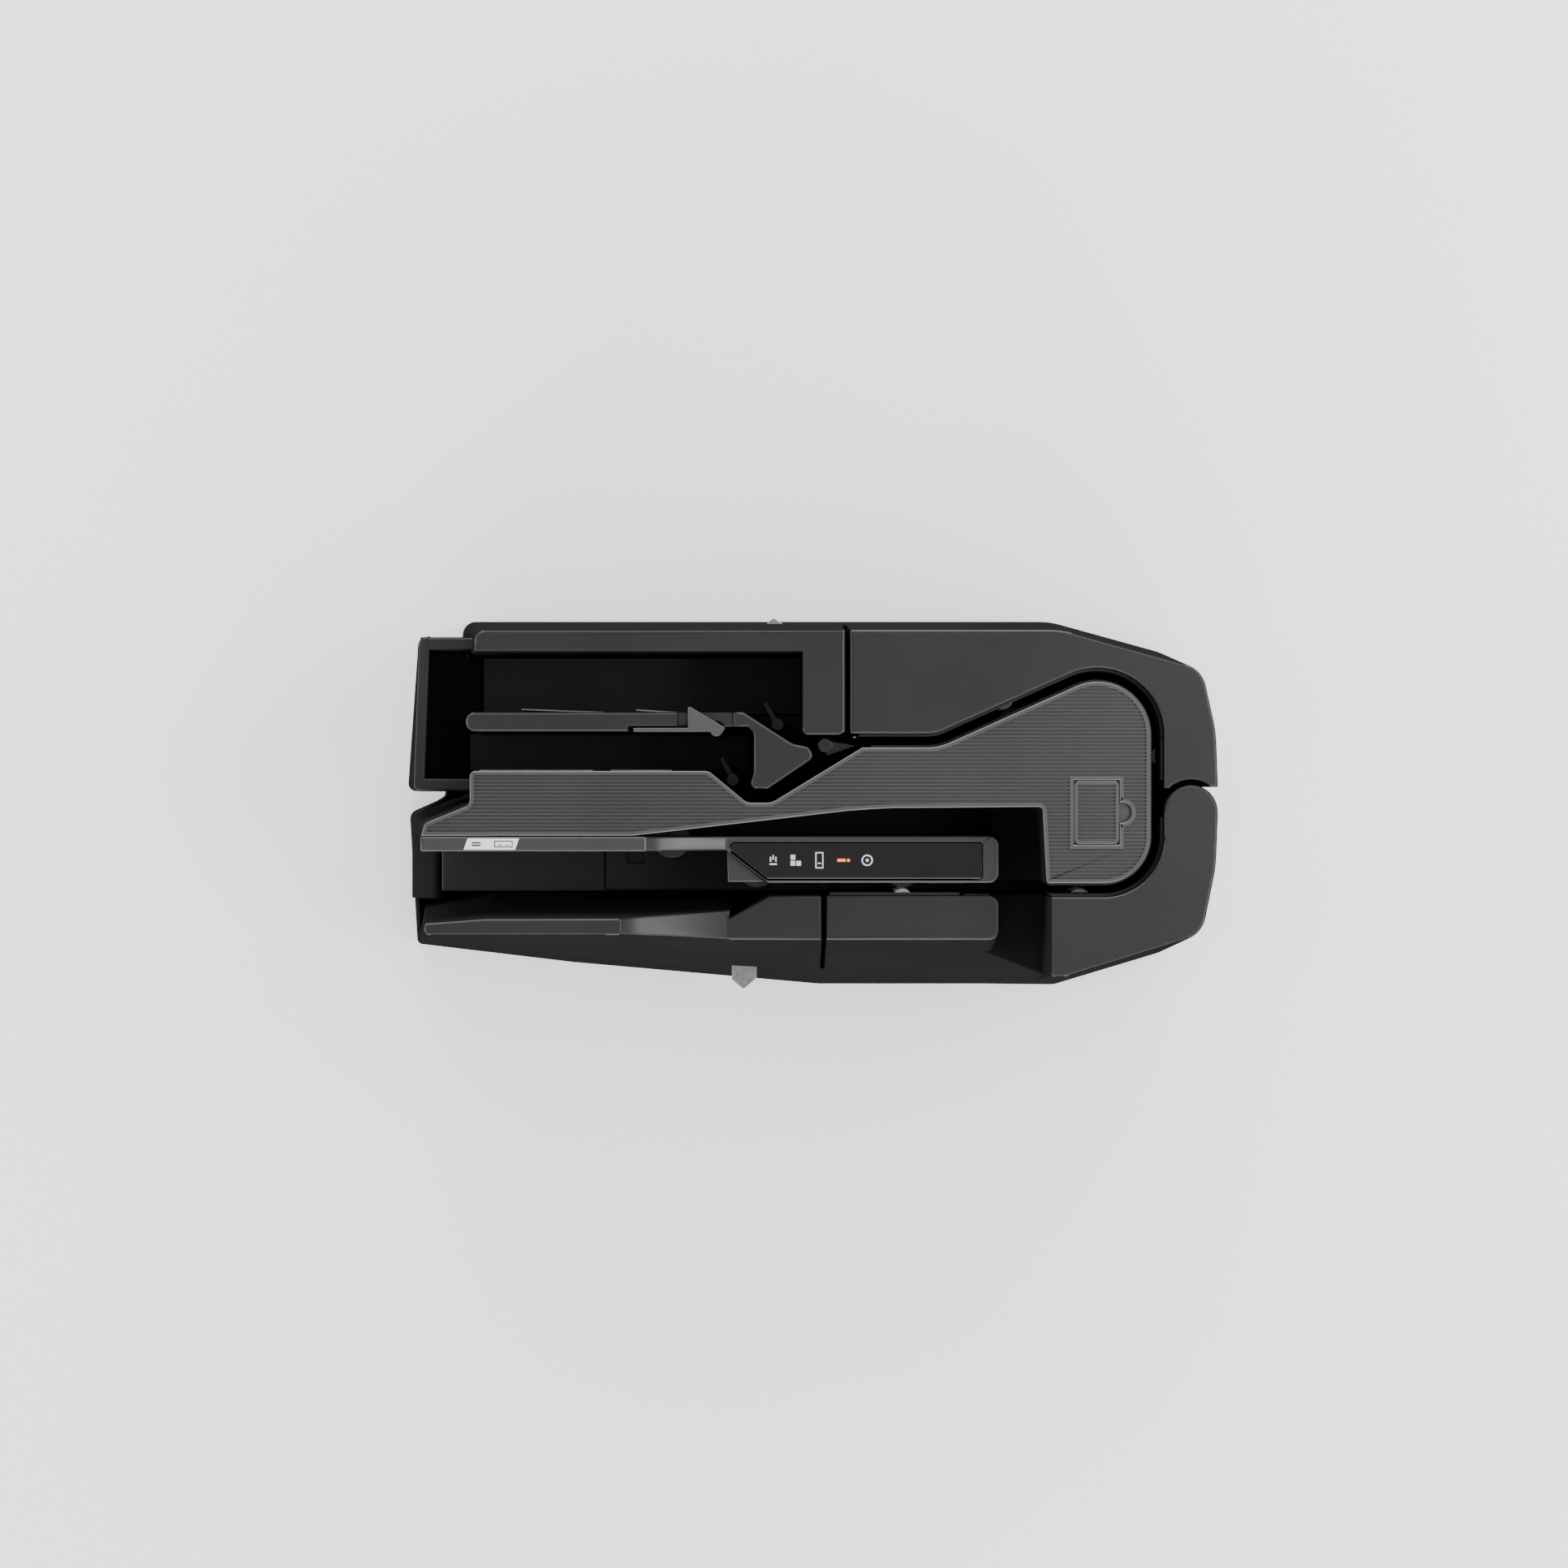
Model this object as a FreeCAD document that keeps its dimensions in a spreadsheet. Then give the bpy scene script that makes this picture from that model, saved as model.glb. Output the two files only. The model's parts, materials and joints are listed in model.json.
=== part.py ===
import FreeCAD, Part
import math
import os

# Sheet fed document scanner: two legs of a standing paper track joined by a turn at the rear.
# X runs from the user side (-) to the rear (+), Y towards the exit pockets, Z up, origin under the middle.

doc = FreeCAD.newDocument("document_scanner")

DIMENSIONS = {
    "rear_x": 204.2, "full_high": 172.0, "wall": 2.5, "foot_high": 3.0, "tray_top": 48.0, "casing_base": 50.0,
    "deck_under": 76.0, "deck_top": 82.0, "shelf_top": 146.0, "recess_floor": 118.0, "link_top": 110.0,
    "stopper_top": 140.0, "slot_half": 3.2, "door_half": 3.5, "deck_half": 2.6, "feed_leg_y": -41.2,
    "exit_leg_y": 31.0, "rear_leg_x": 174.6, "slant": 24.1, "slant_start": 68.0, "exit_turn": 29.0,
    "feed_turn": 26.0, "hinge_x": 191.1, "hinge_y": -3.3, "knuckle": 13.0, "pin_radius": 3.0,
    "running_gap": 0.08, "roller_radius": 8.0, "idler_radius": 5.0, "shaft_radius": 2.5, "idler_pin": 1.6,
    "tyre_high": 12.0, "floor_plate": 1.8, "glass_thick": 1.2, "pulley_radius": 8.0, "feed_pulley": 6.0,
    "pulley_low": 60.0, "cartridge_deep": 38.0,
}

sheet = doc.addObject("Spreadsheet::Sheet", "dims")
for row, (alias, value) in enumerate(DIMENSIONS.items(), start=1):
    sheet.set("A%d" % row, alias)
    sheet.set("B%d" % row, str(value))
    sheet.setAlias("B%d" % row, alias)
doc.recompute()

D = DIMENSIONS
TOP = D["full_high"]
REAR = D["rear_x"]
NODES = []


# --- helpers ---------------------------------------------------------------------------------------

def node(thing, label):
    """Marks a finished object as a piece with its own file."""
    thing.Label = label
    NODES.append(thing)


def bind(thing, **sizes):
    """Sets each property, by expression where the value is a string."""
    for name, value in sizes.items():
        path = name.replace("__", ".")
        if isinstance(value, str):
            thing.setExpression(path, value)
        elif path.startswith("Placement.Base."):
            setting = thing.Placement
            setattr(setting.Base, path[-1], value)
            thing.Placement = setting
        else:
            setattr(thing, path, value)
    return thing


def place(thing, x, y, z):
    """Puts an object at x, y, z, each a number or an expression."""
    return bind(thing, Placement__Base__x=x, Placement__Base__y=y, Placement__Base__z=z)


def outline_edges(corners):
    """Closed outline through corners (x, y, radius): straight edges joined by arcs."""
    spans = []
    for index, (x, y, radius) in enumerate(corners):
        here = FreeCAD.Vector(x, y, 0)
        before = FreeCAD.Vector(*corners[index - 1][:2], 0) - here
        after = FreeCAD.Vector(*corners[(index + 1) % len(corners)][:2], 0) - here
        before.normalize()
        after.normalize()
        half = before.getAngle(after) / 2
        if radius < 0.01 or half > 1.56:
            spans.append((here, None, here))
            continue
        reach = radius / math.tan(half)
        middle = before + after
        middle.normalize()
        centre = here + middle * (radius / math.sin(half))
        spans.append((here + before * reach, centre - middle * radius, here + after * reach))
    edges = []
    for index, (start, mid, end) in enumerate(spans):
        if mid:
            edges.append(Part.Arc(start, mid, end))
        following = spans[(index + 1) % len(spans)][0]
        if (following - end).Length > 0.001:
            edges.append(Part.LineSegment(end, following))
    return edges


def plane_sketch(body, name, corners, role="XY_Plane", lift=None):
    """A closed sketch on one of the body's own planes, lifted along its normal by an expression."""
    sketch = body.newObject("Sketcher::SketchObject", name)
    plane = [item for item in body.Origin.OriginFeatures if item.Role == role][0]
    sketch.AttachmentSupport = [(plane, "")]
    sketch.MapMode = "FlatFace"
    if lift:
        sketch.setExpression("AttachmentOffset.Base.z", lift)
    sketch.addGeometry(outline_edges(corners), False)
    return sketch


def prism(name, corners, base, high):
    """A body padded up from its outline; base and high are expressions."""
    body = doc.addObject("PartDesign::Body", name)
    sketch = plane_sketch(body, name + "_outline", corners)
    pad = body.newObject("PartDesign::Pad", name + "_pad")
    pad.Profile = sketch
    pad.setExpression("Length", high)
    body.setExpression("Placement.Base.z", base)
    return body


def sink(body, name, corners, level, depth):
    """Cuts a pocket down from level, measured from the body's own base; both are expressions."""
    sketch = plane_sketch(body, name + "_outline", corners, lift=level)
    pocket = body.newObject("PartDesign::Pocket", name)
    pocket.Profile = sketch
    pocket.setExpression("Length", depth)
    return body


def side_prism(name, corners, front, deep):
    """A body whose outline stands in the XZ plane and runs back along +Y from front."""
    body = doc.addObject("PartDesign::Body", name)
    sketch = plane_sketch(body, name + "_outline", corners, role="XZ_Plane")
    pad = body.newObject("PartDesign::Pad", name + "_pad")
    pad.Profile = sketch
    pad.Reversed = True
    pad.setExpression("Length", deep)
    body.setExpression("Placement.Base.y", front)
    return body


def flare(name, rows, low, high):
    """A straight-sided loft; rows hold x, y at the ground, x, y at full height and a corner radius."""
    sections = []
    for suffix, level in (("low", low), ("high", high)):
        part = level / TOP
        corners = [(x0 + (x1 - x0) * part, y0 + (y1 - y0) * part, radius) for x0, y0, x1, y1, radius in rows]
        section = doc.addObject("Sketcher::SketchObject", name + "_" + suffix)
        section.addGeometry(outline_edges(corners), False)
        section.Placement.Base.z = level
        sections.append(section)
    loft = doc.addObject("Part::Loft", name)
    loft.Sections = sections
    loft.Solid = True
    loft.Ruled = True
    return loft


def box(name, low, high):
    """A block between two corners; a corner's items are numbers or expressions."""
    block = doc.addObject("Part::Box", name)
    place(block, *low)
    for side, start, end in zip(("Length", "Width", "Height"), low, high):
        if isinstance(start, str) or isinstance(end, str):
            block.setExpression(side, "(%s) - (%s)" % (end, start))
        else:
            setattr(block, side, end - start)
    return block


def rod(name, x, y, low, radius, high):
    """An upright cylinder from low, of the given height."""
    return place(bind(doc.addObject("Part::Cylinder", name), Radius=radius, Height=high), x, y, low)


def join(name, *things):
    """Several overlapping or touching objects as one solid."""
    result = doc.addObject("Part::MultiFuse", name)
    result.Shapes = list(things)
    return result


def cut(name, base, *tools):
    """Base less the tools."""
    result = doc.addObject("Part::Cut", name)
    result.Base = base
    result.Tool = tools[0] if len(tools) == 1 else join(name + "_tools", *tools)
    return result


def group(name, *things):
    """Separate solids that share one node."""
    result = doc.addObject("Part::Compound", name)
    result.Links = list(things)
    return result


def tube(name, x, y, low, outer, inner, high):
    """A ring or sleeve."""
    return cut(name, rod(name + "_outer", x, y, low, outer, high), rod(name + "_bore", x, y, low, inner, high))


def facing_rear(thing, x, y, z):
    """Lays an upright object down so that its axis points to the rear."""
    thing.Placement = FreeCAD.Placement(FreeCAD.Vector(x, y, z), FreeCAD.Rotation(FreeCAD.Vector(0, 1, 0), 90))
    return thing


def shifted(path, shift):
    """An open path (x, y, radius) moved to its left by shift, its corner radii changed to match."""
    lines = []
    for (x0, y0, _), (x1, y1, _) in zip(path, path[1:]):
        span = math.hypot(x1 - x0, y1 - y0)
        along = ((x1 - x0) / span, (y1 - y0) / span)
        lines.append(((x0 - along[1] * shift, y0 + along[0] * shift), along))
    corners = [(lines[0][0][0], lines[0][0][1], 0)]
    for (here, along), (there, onward), (_, _, radius) in zip(lines, lines[1:], path[1:]):
        turn = along[0] * onward[1] - along[1] * onward[0]
        if abs(turn) < 1e-6:
            corners.append((there[0], there[1], 0))
            continue
        gap = (there[0] - here[0], there[1] - here[1])
        reach = (gap[0] * onward[1] - gap[1] * onward[0]) / turn
        corner = (here[0] + along[0] * reach, here[1] + along[1] * reach)
        corners.append((corner[0], corner[1], radius - shift * math.copysign(1, turn)))
    end, along = path[-1], lines[-1][1]
    corners.append((end[0] - along[1] * shift, end[1] + along[0] * shift, 0))
    return corners


def ring_inset(ring, gap):
    """A clockwise ring of corners (x, y, radius) drawn in by gap."""
    moved = []
    for index in range(len(ring)):
        x, y, radius = shifted([ring[index - 1], ring[index], ring[(index + 1) % len(ring)]], -gap)[1]
        moved.append((x, y, radius if radius > 1 else 0))
    return moved


def inset(rows, gap):
    """Rows of a flare listed clockwise, drawn in by gap at the ground and at full height."""
    low = ring_inset([(row[0], row[1], row[4]) for row in rows], gap)
    high = ring_inset([(row[2], row[3], row[4]) for row in rows], gap)
    return [near[:2] + far for near, far in zip(low, high)]


def band(path, near, far):
    """The outline of a strip that follows the path between two shifts."""
    return shifted(path, far) + shifted(path, near)[::-1]


def upright(corners):
    """Rows of a flare whose sides stand straight up."""
    return [(x, y, x, y, radius) for x, y, radius in corners]


def shell(name, rows, low, high):
    """A casing closed on top and open below."""
    void = flare(name + "_void", inset(rows, D["wall"]), low - 4, high - D["wall"])
    return cut(name, flare(name + "_skin", rows, low, high), void)


# --- the paper track -------------------------------------------------------------------------------
# One centre line: along the exit leg, up the slant, round the rear and back along the feed leg.

SLANT = math.radians(D["slant"])
TRACK = [
    (27.0, D["exit_leg_y"], 0),
    (D["slant_start"], D["exit_leg_y"], 24),
    (D["rear_leg_x"], D["exit_leg_y"] + (D["rear_leg_x"] - D["slant_start"]) * math.tan(SLANT), D["exit_turn"]),
    (D["rear_leg_x"], D["feed_leg_y"], D["feed_turn"]),
    (-10.0, D["feed_leg_y"], 0),
]
inner_edge = shifted(TRACK, -D["slot_half"])
door_edge = shifted(TRACK, D["door_half"])
deck_edge = shifted(TRACK, D["deck_half"])
HINGE = (D["hinge_x"], D["hinge_y"])

# Stations on the track: x, y on the centre line, then the direction towards the island.
ROLLERS = {
    "feed_roller_front": (52.0, D["feed_leg_y"], 0.0, 1.0),
    "feed_roller_middle": (140.0, D["feed_leg_y"], 0.0, 1.0),
    "feed_roller_rear": (D["rear_leg_x"], 24.0, -1.0, 0.0),
    "exit_roller_slant": (104.0, D["exit_leg_y"] + 36 * math.tan(SLANT), math.sin(SLANT), -math.cos(SLANT)),
}
drive_reach = D["roller_radius"] + 0.2
idler_reach = D["idler_radius"] + 0.4
AXLES = {name: (x + nx * drive_reach, y + ny * drive_reach) for name, (x, y, nx, ny) in ROLLERS.items()}
IDLERS = {name: (x - nx * idler_reach, y - ny * idler_reach) for name, (x, y, nx, ny) in ROLLERS.items()}
LEVELS = (92, 124)
PICKUP = (-62.0, -17.6)
SEPARATOR = (-20.0, -32.0)
MAIN_KICKER = (-9.7, 39.4)
SUB_KICKER = (-31.7, 12.2)
GATE = (13.5, 28.9)
ARM = (-39.4, 36.3)
MOTOR = (16.0, -8.0)
FEED_MOTOR = (-52.0, 6.0)
DRIVE_RING = [AXLES["exit_roller_slant"], AXLES["feed_roller_rear"], AXLES["feed_roller_middle"],
              AXLES["feed_roller_front"], MOTOR]
LEFT_NAMES = ["exit_roller_slant", "feed_roller_rear"]
RIGHT_NAMES = ["feed_roller_front", "feed_roller_middle"]

# Outer skin, clockwise: x, y at the ground, x, y at full height, corner radius.
rear_left = [
    (-176.0, 96.0, -156.8, 85.0, 7),
    (134.0, 96.0, 128.0, 85.0, 40),
    (199.0, 78.0, 196.5, 66.0, 14),
    (REAR, 42.0, 203.2, 36.0, 50),
]
rear_right = [
    (REAR, -4.0, REAR, -4.0, 0),
    (REAR, -40.0, 203.2, -30.0, 50),
    (199.0, -77.0, 196.5, -63.0, 14),
    (136.0, -96.0, 130.0, -83.6, 12),
]
side_right = [(99.0, -96.0, 99.0, -61.4, 0), (12.0, -96.0, 12.0, -61.4, 0)]
front_right = [(-118.0, -84.4, -93.0, -63.4, 0), (-200.4, -74.4, -182.5, -63.4, 3)]
front_nose = [(-204.6, -5.0, -181.0, -9.0, 5), (-184.0, 4.0, -176.0, 4.0, 3)]
skin = rear_left + rear_right[1:] + side_right + front_right + front_nose


# --- base: tray, feet, chassis ---------------------------------------------------------------------

SCREWS = [(-146.0, -62.0), (-120.0, 84.0), (120.0, -80.0), (120.0, 80.0)]
tray_shell = cut("tray_shell", flare("tray_outer", skin, D["foot_high"], D["tray_top"]),
                 flare("tray_inner", inset(skin, D["wall"]), 6.0, D["tray_top"] + 4))
bosses = [rod("boss_%d" % i, x, y, 4, 4.5, 14) for i, (x, y) in enumerate(SCREWS)]
sockets = [rod("socket_%d" % i, x, y, 2, 3.2, 3.05) for i, (x, y) in enumerate(SCREWS)]
sockets += [rod("thread_%d" % i, x, y, 5, 1.55, 9) for i, (x, y) in enumerate(SCREWS)]
vents = [box("vent_%d" % i, (-60 + 9 * i, 24, 2), (-56 + 9 * i, 64, 7)) for i in range(12)]
port_holes = [
    box("usb_hole", (200, -46.8, 17.1), (206, -34.2, 29.8)),
    box("network_hole", (200, -28.4, 17.1), (206, -11.6, 32.4)),
    facing_rear(rod("power_hole", 0, 0, 0, 5.8, 8), 199, 12, 25),
    facing_rear(rod("button_hole", 0, 0, 0, 6.2, 8), 199, 34, 25),
]
tray_solid = join("tray_solid", tray_shell, rod("hinge_post", *HINGE, 5, 8.5, 45), *bosses)
node(cut("tray", tray_solid, *port_holes, *vents, *sockets, rod("post_bore", *HINGE, 5.5, "dims.pin_radius", 60)),
     "base_tray")

FEET = [(-184.0, -58.0), (184.0, -58.0), (184.0, 62.0), (-160.0, 80.0)]
node(group("feet", *[rod("foot_%d" % i, x, y, 0, 7, "dims.foot_high") for i, (x, y) in enumerate(FEET)]),
     "rubber_feet")

screws = []
for index, (x, y) in enumerate(SCREWS):
    head = rod("screw_head_%d" % index, x, y, 3.2, 3.0, 1.8)
    shank = rod("screw_shank_%d" % index, x, y, 5.0, 1.5, 8)
    slot = box("screw_slot_%d" % index, (x - 2, y - 0.4, 3.0), (x + 2, y + 0.4, 3.9))
    screws.append(cut("screw_%d" % index, join("screw_blank_%d" % index, head, shank), slot))
node(group("screws", *screws), "case_screws")

deck_outline = [(-180.0, -44.0, 2), (-180.0, -1.0, 2), (-166.0, 6.0, 2), (-158.0, 73.6, 2), (24.6, 73.6, 1)]
deck_outline += [(24.6, D["exit_leg_y"] + D["deck_half"], 0)] + deck_edge[1:4]
deck_outline += [(-12.0, D["feed_leg_y"] - D["deck_half"], 0)]
chassis = prism("chassis_block", deck_outline, "6", "dims.deck_top - 6")
hollow = prism("chassis_hollow", ring_inset(deck_outline, 3.0), "5", "dims.deck_under - 5")
pivots = list(AXLES.values()) + [PICKUP, SEPARATOR, MAIN_KICKER, SUB_KICKER, GATE, ARM]
bores = [rod("deck_bore_%d" % i, x, y, 70, D["shaft_radius"] + D["running_gap"], 20)
         for i, (x, y) in enumerate(pivots)]
belt_room = prism("belt_room", ring_inset([centre + (0,) for centre in DRIVE_RING], -(D["pulley_radius"] + 2.4)),
                  "59", "10")
node(cut("chassis", chassis, hollow, belt_room, *bores), "chassis_deck")
deck_clear = prism("deck_clear", deck_outline, "40", "dims.deck_top - 40")


# --- fixed casings ---------------------------------------------------------------------------------

pocket_rows = [(-176.0, 74.3, -156.8, 74.3, 0), (-176.0, 96.0, -156.8, 85.0, 6), (23.3, 96.0, 23.3, 85.0, 1),
               (23.3, 74.3, 23.3, 74.3, 0)]
pocket_wall = shell("pocket_wall", pocket_rows, D["casing_base"], TOP)
end_block = prism("end_block", [(2.3, 33.9, 3), (2.3, 76.0, 0), (23.3, 76.0, 0), (23.3, 35.4, 0), (20.5, 33.9, 2)],
                  "dims.deck_top", "dims.full_high - dims.deck_top")
sink(end_block, "end_hollow", [(5.0, 36.6, 2), (5.0, 72.0, 0), (20.8, 72.0, 0), (20.8, 36.6, 0)],
     "dims.full_high - dims.deck_top - dims.wall", "100")
outer_channel = box("outer_channel", (-190, 75.2, 83), (-96, 83.2, 141))
node(cut("pocket_case", join("pocket_case_whole", pocket_wall, end_block), deck_clear, outer_channel),
     "pocket_casing")

hopper_rows = [(-196.0, -50.0, -180.5, -57.5, 0), (-152.0, -35.2, -152.0, -55.4, 0), (-33.0, -35.2, -33.0, -55.0, 0),
               (-33.0, -92.4, -33.0, -62.0, 0)] + front_right
hopper_void = flare("hopper_void", inset(hopper_rows, D["wall"]), D["casing_base"] - 4, TOP - 36)
hopper_front = cut("hopper_front", flare("hopper_skin", hopper_rows, D["casing_base"], TOP), hopper_void)
throat_rows = [(-36.0, -56.0, -36.0, -57.4, 0), (-13.8, -44.7, -13.8, -44.7, 3), (12.0, -44.7, 12.0, -44.7, 0),
               (12.0, -96.0, 12.0, -61.4, 0), (-36.0, -92.2, -36.0, -62.0, 0)]
throat = shell("throat", throat_rows, D["casing_base"], D["shelf_top"])
hopper_fall = side_prism("hopper_fall", [(-93.0, TOP, 30), (-35.0, D["shelf_top"], 0), (60.0, D["shelf_top"], 0),
                                         (60.0, 190.0, 0), (-93.0, 190.0, 0)], "-110", "70")
node(cut("hopper_case", join("hopper_case_whole", hopper_front, throat), hopper_fall, deck_clear), "hopper_casing")

lip_profile = [(-196.5, 60.0, 2), (-180.4, 84.4, 3), (-180.4, 50.0, 0), (-198.5, 50.0, 0)]
lip = side_prism("lip", lip_profile, "-48.4", "33")
node(cut("front_lip", lip, box("lip_step", (-190, -23.2, 81.4), (-170, -15, 90))), "hopper_front_lip")


# --- centre island ---------------------------------------------------------------------------------

island_outline = [(-159.0, 16.4, 2.5), (-43.0, 16.4, 6), (-24.5, 1.0, 6), (-12.5, 1.0, 8), (31.5, 27.8, 2)]
island_outline += inner_edge[1:4] + [(121.0, D["feed_leg_y"] + D["slot_half"], 1.5), (119.0, -1.0, 2)]
island_outline += [(35.0, -1.5, 400), (-80.0, -15.0, 20), (-176.0, -15.0, 0), (-176.0, -7.5, 2), (-159.0, 0.0, 4)]
island_block = prism("island_block", island_outline, "dims.deck_top", "dims.full_high - dims.deck_top")
sink(island_block, "island_hollow", ring_inset(island_outline, D["wall"]),
     "dims.full_high - dims.deck_top - dims.wall", "100")
nose_rows = [(-204.6, -15.1, -182.6, -15.1, 0), (-204.6, -5.0, -181.0, -9.0, 3), (-184.0, 4.0, -159.0, 0.0, 0),
             (-150.0, 4.0, -150.0, 1.0, 0), (-150.0, -15.1, -150.0, -15.1, 0)]
nose = cut("nose", shell("nose_shell", nose_rows, D["casing_base"], TOP), deck_clear)
recess = prism("recess", [(-78.0, -15.3, 0), (-60.0, -11.0, 0), (35.0, 1.0, 0), (121.5, 1.0, 0), (121.5, -37.9, 0),
                          (99.8, -37.9, 0), (99.8, -15.3, 0)], "dims.deck_top", "dims.recess_floor - dims.deck_top")
sink(recess, "recess_hollow", [(-55.0, -13.0, 0), (35.0, -6.0, 0), (118.5, -6.0, 0), (118.5, -35.4, 0),
                               (102.3, -35.4, 0), (102.3, -13.0, 0)],
     "dims.recess_floor - dims.deck_top - dims.wall", "100")
LID = (134.2, 156.4, -19.4, 12.0)
lid_well = box("lid_well", (LID[0], LID[2], "dims.full_high - 2"), (LID[1], LID[3], "dims.full_high + 1"))
bay = box("cartridge_bay", (LID[0] + 2, LID[2] + 3, "dims.full_high - 50"), (LID[1] - 2, LID[3] - 3, TOP))
nail = rod("nail_dip", LID[1] + 1, -3.7, "dims.full_high - 2", 5, 9)
inner_channel = box("inner_channel", (-205, 5.6, 83), (-92, 13.6, 141))
openings = []
for name, (x, y) in AXLES.items():
    for level in LEVELS:
        openings.append(rod("%s_opening_%d" % (name, level), x, y, level - 2, D["roller_radius"] + 1.2, 16))
    openings.append(rod(name + "_collar_opening", x, y, 81, 4.0, 5.4))
openings.append(rod("pickup_island_opening", *PICKUP, 80, 10.2, 60))
node(cut("island", join("island_whole", island_block, nose, recess), lid_well, bay, nail, inner_channel, *openings),
     "island_cover")

lid_corners = [(LID[0] + 0.3, LID[2] + 0.3, 2.4), (LID[0] + 0.3, LID[3] - 0.3, 2.4),
               (LID[1] - 0.3, LID[3] - 0.3, 2.4), (LID[1] - 0.3, LID[2] + 0.3, 2.4)]
node(prism("lid_plate", lid_corners, "dims.full_high - 1.8", "1.8"), "cartridge_lid")
cartridge_body = box("cartridge_body", (LID[0] + 2.3, LID[2] + 3.3, "dims.full_high - 12 - dims.cartridge_deep"),
                     (LID[1] - 2.3, LID[3] - 3.3, "dims.full_high - 8"))
cartridge_grip = box("cartridge_grip", (LID[0] + 9, LID[2] + 9, "dims.full_high - 8"),
                     (LID[1] - 9, LID[3] - 9, "dims.full_high - 4"))
node(join("cartridge", cartridge_body, cartridge_grip), "ink_cartridge")
cradle = box("cradle_block", (LID[0] + 1, LID[2] + 2, "dims.full_high - 54"), (LID[1] - 1, LID[3] - 2, TOP - 36))
cradle_room = box("cradle_room", (LID[0] + 2.3, LID[2] + 3.3, "dims.full_high - 12 - dims.cartridge_deep"),
                  (LID[1] - 2.3, LID[3] - 3.3, TOP))
node(cut("cradle", join("cradle_whole", cradle, box("cradle_leg", (LID[0] + 6, -8, 82), (LID[1] - 6, 2, 119))),
         cradle_room), "cartridge_cradle")


# --- panel bar -------------------------------------------------------------------------------------

bar_outline = [(-183.0, -22.7, 1), (-183.0, -15.4, 0.5), (99.3, -15.4, 5), (99.3, -38.6, 5), (-14.2, -38.6, 2),
               (-35.0, -22.7, 2)]
bar_block = prism("bar_block", bar_outline, "dims.deck_top", "dims.full_high - dims.deck_top")
sink(bar_block, "bar_hollow", [(-160.0, -20.6, 0), (-160.0, -17.4, 0), (96.8, -17.9, 2), (96.8, -36.2, 2),
                               (-12.6, -36.2, 0), (-30.0, -22.0, 0)],
     "dims.shelf_top - dims.deck_top - dims.wall", "100")
bar_fall = side_prism("bar_fall", [(-78.0, TOP, 25), (-35.5, D["shelf_top"], 0), (130.0, D["shelf_top"], 0),
                                   (130.0, 190.0, 0), (-78.0, 190.0, 0)], "-60", "60")
glass_outline = [(-32.4, -22.9, 0.5), (-32.4, -18.7, 1.5), (91.0, -18.7, 1.5), (91.0, -36.4, 1.5), (-14.8, -36.4, 0.5)]
glass_seat = prism("glass_seat", glass_outline, "dims.shelf_top - 0.9", "5")
front_axle = AXLES["feed_roller_front"]
bar_openings = [rod("bar_opening_%d" % z, *front_axle, z - 2, D["roller_radius"] + 1.2, 16) for z in LEVELS]
bar_openings += [rod("separator_opening", *SEPARATOR, 80, 10.2, 60), rod("pickup_opening", *PICKUP, 80, 10.2, 60),
                 box("sensor_opening", (63.8, -39, 83.8), (82.2, -23.8, 142.2)),
                 box("magnet_opening", (-4.2, -39, 89.8), (10.2, -25.8, 112.2))]
roller_cover = prism("roller_cover", [(-34.6, -22.9, 0), (-14.6, -38.3, 0), (-34.6, -38.3, 1.0)],
                     "dims.shelf_top - 5.6", "2.4")
node(join("bar_whole", cut("bar", bar_block, bar_fall, glass_seat, *bar_openings), roller_cover), "panel_bar")
node(prism("glass", glass_outline, "dims.shelf_top - 0.9", "dims.glass_thick"), "panel_glass")

ICON_Y = -27.4
ICON_BASE = "dims.shelf_top - 0.9 + dims.glass_thick"


def tile(name, x, y, wide, deep):
    """A raised mark on the glass."""
    return box(name, (x - wide / 2, y - deep / 2, ICON_BASE), (x + wide / 2, y + deep / 2, ICON_BASE + " + 0.15"))


icons = [tile("fan_%d" % i, -11.8 + 1.3 * (i - 1), ICON_Y + 1.4 - 0.9 * abs(i - 1), 0.7, 2.4) for i in range(3)]
icons.append(tile("fan_foot", -11.8, ICON_Y - 1.9, 3.6, 0.8))
for index, (dx, dy) in enumerate(((-1.4, -1.5), (1.4, -1.5), (-1.4, 1.5))):
    icons.append(tile("block_%d" % index, -0.7 + dx, ICON_Y + dy, 2.3, 2.4))
icons.append(cut("page", tile("page_rim", 10.9, ICON_Y, 4.0, 8.0), tile("page_middle", 10.9, ICON_Y, 2.8, 6.8)))
icons.append(tile("page_line", 10.9, ICON_Y - 1.5, 1.8, 0.6))
icons.append(tube("ready_ring", 34.4, ICON_Y, ICON_BASE, 2.8, 2.1, 0.15))
icons.append(rod("ready_dot", 34.4, ICON_Y, ICON_BASE, 0.8, 0.15))
node(group("icons", *icons), "status_icons")
node(group("fault", tile("fault_bar", 21.8, ICON_Y, 4.0, 1.5), rod("fault_dot", 25.2, ICON_Y, ICON_BASE, 0.8, 0.15)),
     "fault_icon")
node(prism("load_label", [(-162.0, -21.8, 0.3), (-160.0, -16.3, 0.3), (-135.0, -16.3, 0.3), (-137.0, -21.8, 0.3)],
           "dims.full_high", "0.2"), "load_label_sticker")


# --- hopper floor and exit pockets -----------------------------------------------------------------

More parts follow.
